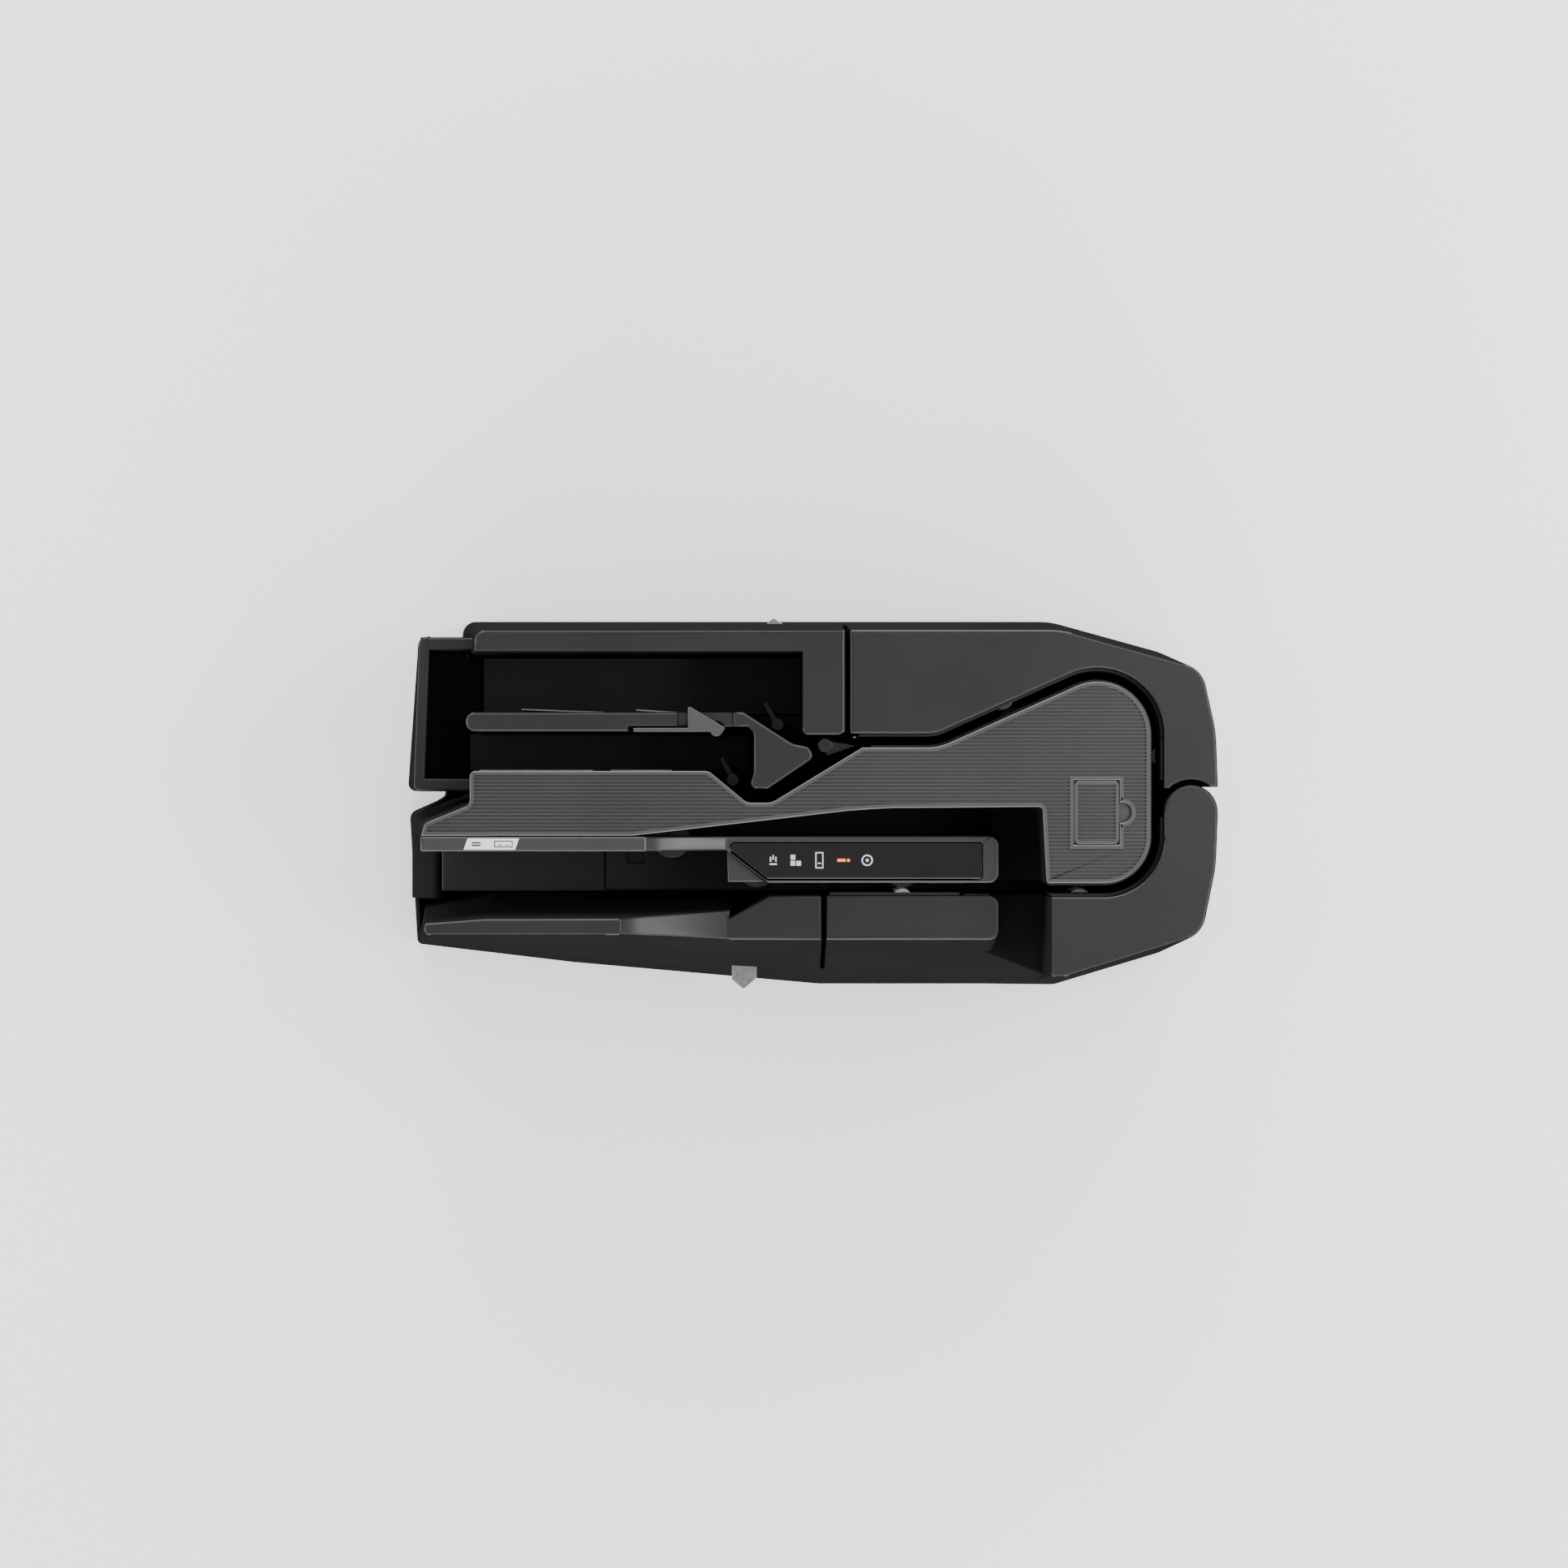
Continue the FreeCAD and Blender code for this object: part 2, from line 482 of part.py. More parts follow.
floor_front = prism("floor_front", [(-180.0, -44.2, 1), (-180.0, -23.2, 1), (-97.8, -23.2, 0), (-97.8, -44.2, 0)],
                    "dims.deck_top", "dims.floor_plate + 0.6")
floor_rear = prism("floor_rear", [(-97.2, -43.4, 0), (-97.2, -23.2, 0), (-36.0, -23.2, 0), (-16.0, -39.8, 0),
                                  (-16.0, -43.4, 0)], "dims.deck_top", "dims.floor_plate")
pickup_notch = rod("pickup_notch", *PICKUP, 80, 10.2, 9)
floor_rear = cut("floor_rear_cut", floor_rear, pickup_notch, rod("separator_notch", *SEPARATOR, 80, 10.2, 9),
                 box("floor_notch", (-86.5, -30.0, 81), (-77.0, -22.0, 90)))
node(group("hopper_floor_pair", floor_front, floor_rear), "hopper_floor")


def pocket_plate(name, near, far, front, back):
    """Pocket floor: thin over the pull-out tongue in front, thick where it stands on the deck behind."""
    plate = box(name + "_plate", (front, near, 84.0), (back, far, 85.8))
    root = box(name + "_root", (-88.0, near, "dims.deck_top"), (back, far, 84.0))
    return join(name, plate, root)


node(cut("main_floor", pocket_plate("main_floor_whole", 45.3, 74.0, -159.0, 2.0),
         rod("main_floor_bore", *MAIN_KICKER, 80, 6.5, 9)), "main_pocket_floor")
node(cut("sub_floor", pocket_plate("sub_floor_whole", 16.7, 35.3, -166.0, -24.0),
         rod("sub_floor_bore", *SUB_KICKER, 80, 6.5, 9), rod("arm_floor_bore", *ARM, 80, 3.6, 9)), "sub_pocket_floor")

divider_outline = [(-161.0, 35.6, 4.5), (-161.0, 45.0, 4.5), (-26.2, 45.0, 3), (-2.4, 29.7, 6), (5.8, 27.9, 3),
                   (8.2, 23.0, 3), (-14.5, 7.6, 3), (-23.6, 7.8, 3), (-21.2, 15.6, 2), (-21.2, 34.8, 3),
                   (-24.0, 37.9, 1), (-82.0, 37.9, 0), (-82.0, 35.6, 0)]
divider = prism("divider_block", divider_outline, "dims.deck_top", "dims.full_high - dims.deck_top")
sink(divider, "divider_hollow", [(-18.6, 38.4, 1), (-4.0, 27.6, 3), (4.4, 24.6, 2), (-14.0, 11.0, 2), (-18.6, 14.0, 2)],
     "dims.full_high - dims.deck_top - dims.wall", "100")
sink(divider, "divider_bar_hollow", [(-154.0, 38.0, 1), (-154.0, 42.6, 1), (-86.0, 42.6, 0), (-86.0, 38.0, 0)],
     "dims.full_high - dims.deck_top - dims.wall", "100")
hub_rooms = [rod("main_hub_room", *MAIN_KICKER, 80, 5.6, 70), rod("sub_hub_room", *SUB_KICKER, 80, 5, 70),
             rod("arm_room", *ARM, 82, 3.6, 91), rod("gate_room", *GATE, 80, 6.4, 93)]
fin_seat = box("fin_seat", (-58, 37.0, "dims.full_high - 2.0"), (-31, 50, "dims.full_high + 1"))
node(cut("divider", divider, fin_seat, *hub_rooms), "pocket_divider")

fin = prism("arm_fin", [(-53.1, 36.4, 0.3), (-53.1, 48.2, 0.8), (-35.0, 37.4, 0.5), (-36.0, 35.6, 0.3)],
            "dims.full_high - 1.6", "1.4")
arm_parts = [box("arm_beam", (-79.6, 35.5, 104), (ARM[0], 37.3, 171.8)), rod("arm_hub", *ARM, 86.4, 3.0, 85.4), fin,
             rod("arm_axle", *ARM, 76.5, "dims.shaft_radius", 12)]
node(join("guide_arm", *arm_parts), "stack_guide_arm")
leaves = []
for index, (front, back, near, lift) in enumerate(((-136.0, -95.3, 45.1, 1.5), (-79.5, -59.4, 45.1, 1.2),
                                                   (-156.8, -101.0, 16.5, 0.0), (-92.0, -62.0, 16.5, 0.0))):
    strip = [(front, near + lift, 0), (front, near + lift + 0.6, 0), (back, near + 0.6, 0), (back, near, 0)]
    leaves.append(prism("leaf_%d" % index, strip, "100", "40"))
node(group("leaves", *leaves), "pocket_leaf_guides")

front_plate = flare("front_plate", [(-207.0, 6.4, -186.0, 6.4, 4), (-200.0, 83.0, -184.0, 83.0, 5),
                                    (-194.0, 83.0, -178.0, 83.0, 0), (-201.0, 6.4, -180.0, 6.4, 0)],
                    56.0, D["stopper_top"])
extension_parts = [
    box("outer_arm", (-186.0, 76.0, 84.6), (-100.0, 82.6, "dims.stopper_top")),
    box("inner_arm", (-186.0, 6.4, 84.6), (-100.0, 12.8, "dims.stopper_top")),
    box("main_tongue", (-190.0, 46.0, 82.3), (-92.0, 73.0, 83.7)),
    box("sub_tongue", (-190.0, 17.4, 82.3), (-92.0, 34.8, 83.7)),
    box("tongue_root", (-191.5, 6.4, 82.3), (-181.5, 82.6, 86.0)),
    box("tongue_web", (-190.0, 12.0, 82.3), (-168.0, 76.6, 83.7)),
]
node(join("extension", front_plate, *extension_parts), "pocket_extension")


# --- rear covers on their shared hinge -------------------------------------------------------------

idler_rooms = {}
idler_mounts = {}
for name, (x, y) in IDLERS.items():
    nx, ny = ROLLERS[name][2:]
    rooms = [rod("%s_room_%d" % (name, z), x, y, z - 2, D["idler_radius"] + 1, 16) for z in LEVELS]
    rooms.append(rod(name + "_pin_bore", x, y, 86, D["idler_pin"] + D["running_gap"], 58))
    idler_rooms[name] = rooms
    idler_mounts[name] = [rod("%s_bracket_%d" % (name, z), x - nx * 2, y - ny * 2, z, 3.8, 3) for z in (86, 138.5)]

left_rows = [(25.6, 96.0, 25.6, 85.0, 1)] + rear_left[1:4] + [(REAR, 8.6, REAR, 8.6, 0)]
left_rows += upright([(door_edge[2][0], 8.0, 0), door_edge[2], door_edge[1], (25.6, door_edge[0][1], 1)])
left_body = cut("left_body", shell("left_shell", left_rows, D["casing_base"], TOP),
                rod("concave", *HINGE, 44, "dims.knuckle + 2.4", 134))
left_parts = [left_body, box("left_lug", (D["hinge_x"] - 9, D["hinge_y"], 52), (D["hinge_x"] + 11, 14, 62)),
              rod("left_lug_eye", *HINGE, 52, 11, 10)]
left_rooms = [room for name in LEFT_NAMES for room in idler_rooms[name]]
left_parts += [block for name in LEFT_NAMES for block in idler_mounts[name]]
node(cut("left_door", join("left_door_whole", *left_parts), *left_rooms,
         rod("left_pin_bore", *HINGE, 40, D["pin_radius"] + D["running_gap"], 130)), "left_rear_cover")

rear_side = (door_edge[3][0], -3.3, 0)
block_rows = upright([(123.0, door_edge[3][1], 1), door_edge[3], rear_side]) + rear_right
block_rows += [(123.0, -96.0, 123.0, -83.6, 2)]
shelf_rows = upright([(14.2, door_edge[3][1], 0), (99.3, door_edge[3][1], 5)])
shelf_rows += [(99.3, -96.0, 99.3, -61.4, 5), (14.2, -96.0, 14.2, -61.4, 1)]
link_rows = upright([(94.0, door_edge[3][1], 0), (128.0, door_edge[3][1], 0)])
link_rows += [(128.0, -96.0, 128.0, -83.6, 0), (94.0, -96.0, 94.0, -61.4, 0)]
right_parts = [shell("rear_block", block_rows, D["casing_base"], TOP),
               shell("shelf_block", shelf_rows, D["casing_base"], D["shelf_top"]),
               shell("link_block", link_rows, D["casing_base"], D["link_top"]),
               rod("right_knuckle", *HINGE, 50, "dims.knuckle", "dims.full_high - 50")]
right_rooms = [room for name in RIGHT_NAMES for room in idler_rooms[name]]
right_parts += [block for name in RIGHT_NAMES for block in idler_mounts[name]]
node(cut("right_door", join("right_door_whole", *right_parts), rod("lug_room", *HINGE, 49, 23, 14),
         box("sensor_room", (81.8, -58.2, 83.8), (95.2, -44.0, 142.2)), *right_rooms,
         rod("right_pin_bore", *HINGE, 48, D["pin_radius"] + D["running_gap"], 112)), "right_rear_cover")
node(rod("hinge_rod", *HINGE, 5.5, "dims.pin_radius", 150), "hinge_pin")


# --- track guides ----------------------------------------------------------------------------------

def guide(name, path, near, far, windows):
    """A thin standing guide plate that follows the track."""
    plate = prism(name + "_plate", band(path, near, far), "dims.deck_top + 0.4", "dims.full_high - dims.deck_top - 8")
    return cut(name, plate, *windows)


drive_rooms = [rod("%s_guide_room_%d" % (name, z), x, y, z - 2, D["roller_radius"] + 0.8, 16)
               for name, (x, y) in AXLES.items() for z in LEVELS]
island_path = [(36.0, D["exit_leg_y"], 0)] + TRACK[1:4] + [(123.0, D["feed_leg_y"], 0)]
node(guide("inner_guide", island_path, -2.0, -D["slot_half"], drive_rooms), "inner_track_guide")
left_path = [(30.0, D["exit_leg_y"], 0), TRACK[1], TRACK[2], (D["rear_leg_x"], 33.2, 0)]
leg_plate = box("leg_plate", (D["rear_leg_x"] + 2.2, 12.0, 82.4), (D["rear_leg_x"] + D["door_half"], 32.8, 164.4))
node(group("left_guides", guide("left_guide", left_path, 2.2, D["door_half"], left_rooms),
           cut("leg_guide", leg_plate, *left_rooms)), "left_cover_guide")
right_path = [(D["rear_leg_x"], -6.0, 0), TRACK[3], (124.0, D["feed_leg_y"], 0)]
shelf_plate = box("shelf_plate", (16.0, D["feed_leg_y"] - D["door_half"], 82.4), (80.0, D["feed_leg_y"] - 2.2, 142))
node(group("right_guides", guide("right_guide", right_path, 2.2, D["door_half"], right_rooms),
           cut("shelf_guide", shelf_plate, *right_rooms)), "right_cover_guide")


# --- rollers, pulleys and belts --------------------------------------------------------------------

for name, (x, y) in AXLES.items():
    axle = join(name + "_axle", rod(name + "_rod", x, y, 58.0, "dims.shaft_radius", 82),
                rod(name + "_collar", x, y, 82.3, 3.2, 3))
    tyres = [tube("%s_tyre_%d" % (name, z), x, y, z, "dims.roller_radius", "dims.shaft_radius", "dims.tyre_high")
             for z in LEVELS]
    wheel = tube(name + "_wheel", x, y, "dims.pulley_low", "dims.pulley_radius", "dims.shaft_radius", 8)
    node(group(name + "_set", axle, wheel, *tyres), name)

for name, (x, y) in IDLERS.items():
    label = name.replace("_roller_", "_idler_")
    pin = rod(label + "_pin", x, y, 86.5, "dims.idler_pin", 54.5)
    rolls = [rod("%s_wheel_%d" % (label, z), x, y, z, "dims.idler_radius", "dims.tyre_high") for z in LEVELS]
    node(join(label + "_whole", pin, *rolls), label)

for label, (x, y) in (("pickup_roller", PICKUP), ("separation_roller", SEPARATOR)):
    shaft = rod(label + "_rod", x, y, 58, "dims.shaft_radius", 80)
    wheel = tube(label + "_wheel", x, y, "dims.pulley_low", "dims.feed_pulley", "dims.shaft_radius", 8)
    tread = tube(label + "_tread", x, y, 94, 9.0, "dims.shaft_radius", 40)
    node(group(label + "_set", shaft, wheel, tread), label)


def belt_loop(name, centres, radius):
    """A flat belt round equal pulleys, listed clockwise, standing a little off them."""
    ring = [centre + (0,) for centre in centres]
    loop = prism(name + "_loop", ring_inset(ring, -(radius + 1.6)), "dims.pulley_low + 1", "6")
    return sink(loop, name + "_inside", ring_inset(ring, -(radius + 0.6)), "6", "7")


node(group("belts", belt_loop("drive", DRIVE_RING, D["pulley_radius"]),
           belt_loop("feed", [FEED_MOTOR, SEPARATOR, PICKUP], D["feed_pulley"])), "drive_belts")
for name, (x, y), radius, wheel in (("drive_motor", MOTOR, 15.0, "dims.pulley_radius"),
                                    ("feed_motor", FEED_MOTOR, 12.0, "dims.feed_pulley")):
    node(join(name + "_body", rod(name + "_case", x, y, 6, radius, 44), rod(name + "_nose", x, y, 50, 5, 3)), name)
    spindle = rod(name + "_spindle", x, y, 53.4, "dims.shaft_radius", 14)
    node(join(name + "_spindle_set", spindle, rod(name + "_wheel", x, y, "dims.pulley_low", wheel, 8)),
         name + "_pulley")


# --- small movers ----------------------------------------------------------------------------------

def lever(name, hub, tip, wide):
    """A kicker: a paddle on an upright pivot."""
    (x0, y0), (x1, y1) = hub, tip
    span = math.hypot(x1 - x0, y1 - y0)
    px, py = -(y1 - y0) / span * wide / 2, (x1 - x0) / span * wide / 2
    corners = [(x0 + px, y0 + py, 0), (x1 + px / 2, y1 + py / 2, 0.5), (x1 - px / 2, y1 - py / 2, 0.5),
               (x0 - px, y0 - py, 0)]
    blade = prism(name + "_blade", corners, "102", "28")
    return join(name + "_whole", blade, rod(name + "_hub", x0, y0, 90, 2.9, 56),
                rod(name + "_axle", x0, y0, 72, "dims.shaft_radius", 20))


node(lever("main_kick", MAIN_KICKER, (-16.0, 50.4), 3.0), "main_kicker")
node(lever("sub_kick", SUB_KICKER, (-37.6, 23.2), 3.0), "sub_kicker")
gate_blade = prism("gate_blade", [(13.5, 31.4, 0), (28.6, 28.7, 0.3), (14.2, 23.8, 0)], "88", "76")
node(join("gate", gate_blade, rod("gate_hub", *GATE, 84, 3.4, 84),
          rod("gate_axle", *GATE, 70.5, "dims.shaft_radius", 14)), "diverter_gate")
node(join("solenoid", rod("solenoid_coil", *GATE, 46, 8, 24),
          box("solenoid_yoke", (GATE[0] - 12, GATE[1] - 10, 6), (GATE[0] + 7.6, GATE[1] + 10, 47))), "gate_solenoid")
left_tab = [(-17.0, 78.0, 1), (-17.0, 91.4, 0.5), (-12.0, 95.9, 1), (-3.6, 90.6, 0.5), (-3.6, 78.0, 1)]
right_tab = [(-33.4, -78.0, 1), (-20.6, -78.0, 1), (-20.6, -90.0, 0.5), (-27.4, -95.9, 1), (-33.4, -90.8, 0.5)]
node(prism("left_tab", left_tab, "48.4", "1.2"), "left_latch")
node(prism("right_tab", right_tab, "48.4", "1.2"), "right_latch")


# --- sensors, electronics, ports -------------------------------------------------------------------

node(box("front_sensor_block", (64, -38.9, 84), (82, -24, 142)), "front_image_sensor")
node(box("rear_sensor_block", (82, -58, 84), (95, -44.2, 142)), "rear_image_sensor")
node(box("magnet_block", (-4, -38.8, 90), (10, -26, 112)), "magnetic_head")


def leaf_spring(name):
    """A sprung strip behind a pressure roller's pin, square to the line between the two rollers."""
    x, y = IDLERS[name]
    nx, ny = ROLLERS[name][2:]
    strip = box(name + "_leaf", (0, 0, 0), (10, 0.5, 14))
    turn = FreeCAD.Rotation(FreeCAD.Vector(0, 0, 1), math.degrees(math.atan2(nx, -ny)))
    middle = FreeCAD.Vector(x - nx * 2.6, y - ny * 2.6, 107)
    strip.Placement = FreeCAD.Placement(middle - turn.multVec(FreeCAD.Vector(5, 0.25, 0)), turn)
    return strip


node(group("left_springs", *[leaf_spring(name) for name in LEFT_NAMES]), "left_pressure_springs")
node(group("right_springs", *[leaf_spring(name) for name in RIGHT_NAMES]), "right_pressure_springs")

board_posts = [rod("board_post_%d_%d" % (x, y + 50), x, y, 6, 2.5, 2) for x in (50, 152) for y in (-24, 16)]
chips = [box("chip_%d" % i, (x, y, 9.6), (x + wide, y + wide, 11.2)) for i, (x, y, wide) in
         enumerate(((60, -20, 14), (84, -18, 10), (110, -16, 18), (70, 4, 8), (90, 2, 12), (134, -24, 9)))]
board = join("board", box("board_plate", (44, -30, 8), (158, 22, 9.6)), *board_posts, *chips)
port_boards = []
for label, near, far, post_y in (("data", -48.0, -13.2, -44.0), ("power", 6.6, 44.0, 40.0)):
    port_boards.append(join(label + "_board", box(label + "_plate", (188, near, 15.9), (200, far, 17.5)),
                            rod(label + "_post", 190, post_y, 6, 2.5, 10.5)))
node(group("boards", board, *port_boards), "circuit_boards")
node(cut("usb", box("usb_shell", (190, -46.4, 17.5), (204.0, -34.6, 29.4)),
         box("usb_mouth", (195, -45, 20), (206, -36, 28))), "usb_port")
node(cut("network", box("network_shell", (188, -28, 17.5), (204.0, -12, 32)),
         box("network_mouth", (193, -26.4, 19.4), (206, -13.6, 29))), "network_port")
inlet = cut("inlet", rod("inlet_shell", 0, 0, 0, 5.4, 14), rod("inlet_mouth", 0, 0, 4, 3.4, 12))
inlet_set = facing_rear(join("inlet_set", inlet, rod("inlet_pin", 0, 0, 2, 1.0, 10)), 190, 12, 25)
node(join("inlet_whole", inlet_set, box("inlet_base", (190, 7.2, 17.5), (199, 16.8, 21))), "power_inlet")
button = join("button", rod("button_cap", 0, 0, 0, 5.8, 7.4), rod("button_flange", 0, 0, 0, 7.0, 2))
node(facing_rear(button, 196.6, 34, 25), "power_button")


# --- files -----------------------------------------------------------------------------------------

doc.recompute()
broken = [item.Name for item in doc.Objects if "Invalid" in item.State or "Error" in item.State]
assert not broken, broken
os.makedirs("parts", exist_ok=True)
for thing in NODES:
    shape = thing.Shape
    assert not shape.isNull() and shape.isValid(), thing.Label
    shape.exportStep("parts/%s.step" % thing.Label)
    size = shape.BoundBox
    limits = [round(limit, 1) for limit in (size.XMin, size.XMax, size.YMin, size.YMax, size.ZMin, size.ZMax)]
    print(thing.Label, len(shape.Solids), round(shape.Volume), limits)
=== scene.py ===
import json
import math

import bmesh
import bpy
import numpy as np
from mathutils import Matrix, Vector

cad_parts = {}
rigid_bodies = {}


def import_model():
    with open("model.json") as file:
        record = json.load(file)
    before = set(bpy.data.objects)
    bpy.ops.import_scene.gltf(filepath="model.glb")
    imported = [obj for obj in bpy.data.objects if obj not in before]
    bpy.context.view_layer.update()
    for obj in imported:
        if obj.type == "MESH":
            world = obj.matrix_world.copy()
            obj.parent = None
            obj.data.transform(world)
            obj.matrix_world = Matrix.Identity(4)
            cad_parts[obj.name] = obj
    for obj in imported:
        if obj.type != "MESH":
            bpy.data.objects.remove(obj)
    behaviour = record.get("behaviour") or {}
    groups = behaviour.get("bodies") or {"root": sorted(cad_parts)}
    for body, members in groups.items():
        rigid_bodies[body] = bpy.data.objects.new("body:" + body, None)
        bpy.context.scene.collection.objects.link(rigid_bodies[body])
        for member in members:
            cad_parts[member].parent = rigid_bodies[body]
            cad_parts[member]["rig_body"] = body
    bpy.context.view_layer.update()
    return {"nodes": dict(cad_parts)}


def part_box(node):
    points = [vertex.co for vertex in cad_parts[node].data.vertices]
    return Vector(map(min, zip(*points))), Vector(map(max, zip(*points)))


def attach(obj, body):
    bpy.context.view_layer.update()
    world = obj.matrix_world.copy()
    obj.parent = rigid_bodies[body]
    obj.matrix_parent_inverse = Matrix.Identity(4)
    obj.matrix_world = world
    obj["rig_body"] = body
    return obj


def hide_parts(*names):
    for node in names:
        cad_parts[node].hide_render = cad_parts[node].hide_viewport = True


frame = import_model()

MM = 0.001
scene = bpy.context.scene


# --- base tray -------------------------------------------------------------------------------------
# The bottom shell: one deep black ABS moulding with a fine eroded grain and softly rounded edges.
# It stands on four feet and the casings are screwed down on it.

class Shade:
    """An output socket of a material. Arithmetic adds Math nodes; node() adds every other type."""

    def __init__(self, tree, socket=None):
        self.tree = tree
        self.socket = socket

    def node(self, kind, settings=(), inputs=(), out=0):
        """Adds a node of that type: its settings first, then the values or links of its sockets."""
        made = self.tree.nodes.new(kind)
        for key, value in dict(settings).items():
            setattr(made, key, value)
        for key, value in dict(inputs).items():
            if isinstance(value, Shade):
                self.tree.links.new(value.socket, made.inputs[key])
            else:
                made.inputs[key].default_value = value
        return Shade(self.tree, made.outputs[out])

    def math(self, operation, a, b=0.0):
        return self.node("ShaderNodeMath", {"operation": operation}, {0: a, 1: b})

    def __add__(self, other):
        return self.math("ADD", self, other)

    def __sub__(self, other):
        return self.math("SUBTRACT", self, other)

    def __rsub__(self, other):
        return self.math("SUBTRACT", other, self)

    def __mul__(self, other):
        return self.math("MULTIPLY", self, other)

    __radd__ = __add__
    __rmul__ = __mul__

    def above(self, level, soft):
        """0 below the level, 1 above it, with a soft step of that width between."""
        return self.node("ShaderNodeMapRange", {"interpolation_type": "SMOOTHSTEP"},
                         {0: self, 1: level - soft / 2, 2: level + soft / 2, 3: 0.0, 4: 1.0})

    def mixed(self, low, high):
        """The colour that goes from low to high as this socket goes from 0 to 1."""
        return self.node("ShaderNodeMix", {"data_type": "RGBA"}, {0: self, 6: low, 7: high}, out=2)


def noise(at, scale, detail=2.0):
    """Fractal noise in object coordinates, as a value round 0.5; scale is in cells per metre."""
    return at.node("ShaderNodeTexNoise", {}, {"Vector": at, "Scale": scale, "Detail": detail})


def start(name, **constants):
    """A new material: its object coordinates, and its Principled shader with the constants set."""
    material = bpy.data.materials.new(name)
    material.use_nodes = True
    shader = material.node_tree.nodes["Principled BSDF"]
    for key, value in constants.items():
        shader.inputs[key.replace("_", " ").title().replace("Ior", "IOR")].default_value = value
    at = Shade(material.node_tree).node("ShaderNodeTexCoord", out=3)
    return material, shader, at


def wire(shader, **sockets):
    """Links what changes over the surface to the shader's sockets."""
    for key, value in sockets.items():
        value.tree.links.new(value.socket, shader.inputs[key.replace("_", " ").title()])


def bump(height, depth):
    """A bump from a height round 0 to 1, that many metres deep."""
    return height.node("ShaderNodeBump", {}, {"Height": height, "Distance": depth, "Strength": 1.0})


def grey(tone, tint=(1.0, 1.0, 1.0)):
    return (tone * tint[0], tone * tint[1], tone * tint[2], 1.0)


COOL = (0.98, 1.0, 1.04)


def moulded(name, tone, rough, grain=0.0004, depth=0.000012, tint=COOL, specular=0.5):
    """Moulded plastic: spark-eroded grain, a slow drift of tone and roughness, and a little dust."""
    material, shader, at = start(name, specular_ior_level=specular)
    fine = noise(at, 1 / grain, 3.0)
    drift = noise(at, 14.0, 2.0)
    speck = noise(at, 900.0, 2.0).above(0.72, 0.06)
    base = drift.above(0.5, 0.5).mixed(grey(tone * 0.93, tint), grey(tone * 1.07, tint))
    colour = (speck * 0.16).mixed(base, grey(min(1.0, tone * 3 + 0.03), tint))
    wire(shader, base_color=colour, roughness=rough + (drift - 0.5) * 0.08 + (fine - 0.5) * 0.1,
         normal=bump(fine, depth))
    return material


def dress(material, *nodes):
    """Gives CAD nodes their material. Their meshes stay as they are."""
    for name in nodes:
        mesh = frame["nodes"][name].data
        mesh.materials.clear()
        mesh.materials.append(material)


SHARP = math.radians(34)
# Faces tilted past WALL_TILT, or centred below the height set here, take the painted-shade copy of the
# casing black.
WALL_TILT = 0.35
PAINTED_SHADE_BELOW = 137 * MM
WELD = 0.003 * MM
FLAT = math.radians(0.8)
LOOKS_UP = 0.5
CASE_TONE = 0.0125
SHADED_WALL_TONE = 0.012
# The wall copy has nearly the casing's tone but no reflection and a rougher grain, so walls and faces below
# the rim render darker: painted shade.
case_black = moulded("case_black", CASE_TONE, 0.42, specular=0.4)
case_wall_painted_shade = moulded("case_wall_painted_shade", SHADED_WALL_TONE, 0.8, 0.0006, 0.00002, specular=0.0)


def merged(node, suffix="_shell"):
    """A copy of a CAD piece as a bmesh, with its loose triangles joined into whole faces."""
    source = frame["nodes"][node]
    mesh = source.data.copy()
    mesh.name = node + suffix
    piece = bpy.data.objects.new(node + suffix, mesh)
    scene.collection.objects.link(piece)
    mesh.materials.clear()
    for spare in [a.name for a in mesh.attributes if a.name == "custom_normal"]:
        mesh.attributes.remove(mesh.attributes[spare])
    body = bmesh.new()
    body.from_mesh(mesh)
    bmesh.ops.remove_doubles(body, verts=body.verts, dist=WELD)
    bmesh.ops.dissolve_limit(body, angle_limit=FLAT, verts=body.verts, edges=body.edges)
    return piece, body


def crowned(body):
    """Marks for rounding the sharp outer edges of every face that looks up."""
    weight = body.edges.layers.float.new("bevel_weight_edge")
    body.normal_update()
    for edge in body.edges:
        sides = edge.link_faces
        if len(sides) == 2 and edge.is_convex and edge.calc_face_angle() > SHARP:
            edge[weight] = float(max(side.normal.z for side in sides) > LOOKS_UP)


def finished(piece, body, node, material):
    """Writes the bmesh back, shades it between its sharp edges, and puts it in its CAD node's place."""
    body.to_mesh(piece.data)
    body.free()
    piece.data.materials.append(material)
    piece.data.shade_smooth()
    piece.data.set_sharp_from_angle(angle=SHARP)
    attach(piece, frame["nodes"][node]["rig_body"])
    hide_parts(node)
    return piece


def rounded(piece, width, segments=3, method="ANGLE"):
    """Rounds the piece's sharp edges and weights its normals by face area."""
    edge = piece.modifiers.new("rounded_edges", "BEVEL")
    edge.width = width
    edge.segments = segments
    edge.limit_method = method
    edge.angle_limit = SHARP
    edge.use_clamp_overlap = method == "ANGLE"
    flat = piece.modifiers.new("flat_faces", "WEIGHTED_NORMAL")
    flat.keep_sharp = True
    flat.weight = 80


